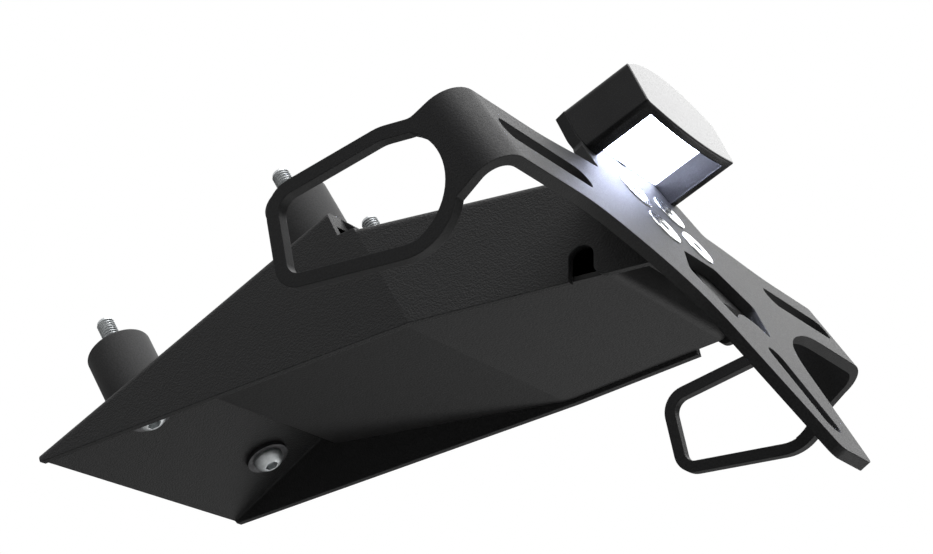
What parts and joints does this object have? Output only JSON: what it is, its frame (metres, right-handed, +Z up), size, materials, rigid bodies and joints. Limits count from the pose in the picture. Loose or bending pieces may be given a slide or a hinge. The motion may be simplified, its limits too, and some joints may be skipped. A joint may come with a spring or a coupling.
{
  "type": "tail tidy",
  "caption": "Motorbike tail tidy: folded black steel tray on spacers, number plate holder with slotted arms and indicator rings, and a small plate light.",
  "frame": {"origin": "midway between the two front mounting studs, level with the tops of their spacers", "axes": "+X to the bike's right, +Y forward, +Z up along the mounting studs; the number plate holder is at -Y"},
  "size_m": [0.232, 0.2218, 0.1917],
  "materials": {
    "textured_black_steel": "textured powder coat",
    "satin_black_steel": "satin powder coat",
    "black_sheet": "satin powder coat",
    "black_aluminium": "black anodised",
    "stainless": "plain",
    "black_plastic": "moulded",
    "lens": "clear moulded",
    "circuit_board": "solder mask",
    "led": "potted"
  },
  "bodies": {
    "root": {"holder_bolt_lower_left": "stainless", "holder_bolt_lower_right": "stainless", "holder_bolt_upper_left": "stainless", "holder_bolt_upper_right": "stainless", "holder_nut_lower_left": "stainless", "holder_nut_lower_right": "stainless", "holder_nut_upper_left": "stainless", "holder_nut_upper_right": "stainless", "light_board": "circuit_board", "light_chips": "led", "light_housing": "black_plastic", "light_lens": "lens", "light_screw_left": "stainless", "light_screw_right": "stainless", "main_tray": "textured_black_steel", "mount_bolt_front_left": "stainless", "mount_bolt_front_right": "stainless", "mount_bolt_rear_left": "stainless", "mount_bolt_rear_right": "stainless", "mount_washer_front_left": "stainless", "mount_washer_front_right": "stainless", "plate_holder": "satin_black_steel", "spacer_front_left": "black_aluminium", "spacer_front_right": "black_aluminium", "spacer_rear_left": "black_aluminium", "spacer_rear_right": "black_aluminium", "under_panel": "black_sheet"}
  },
  "joints": []
}
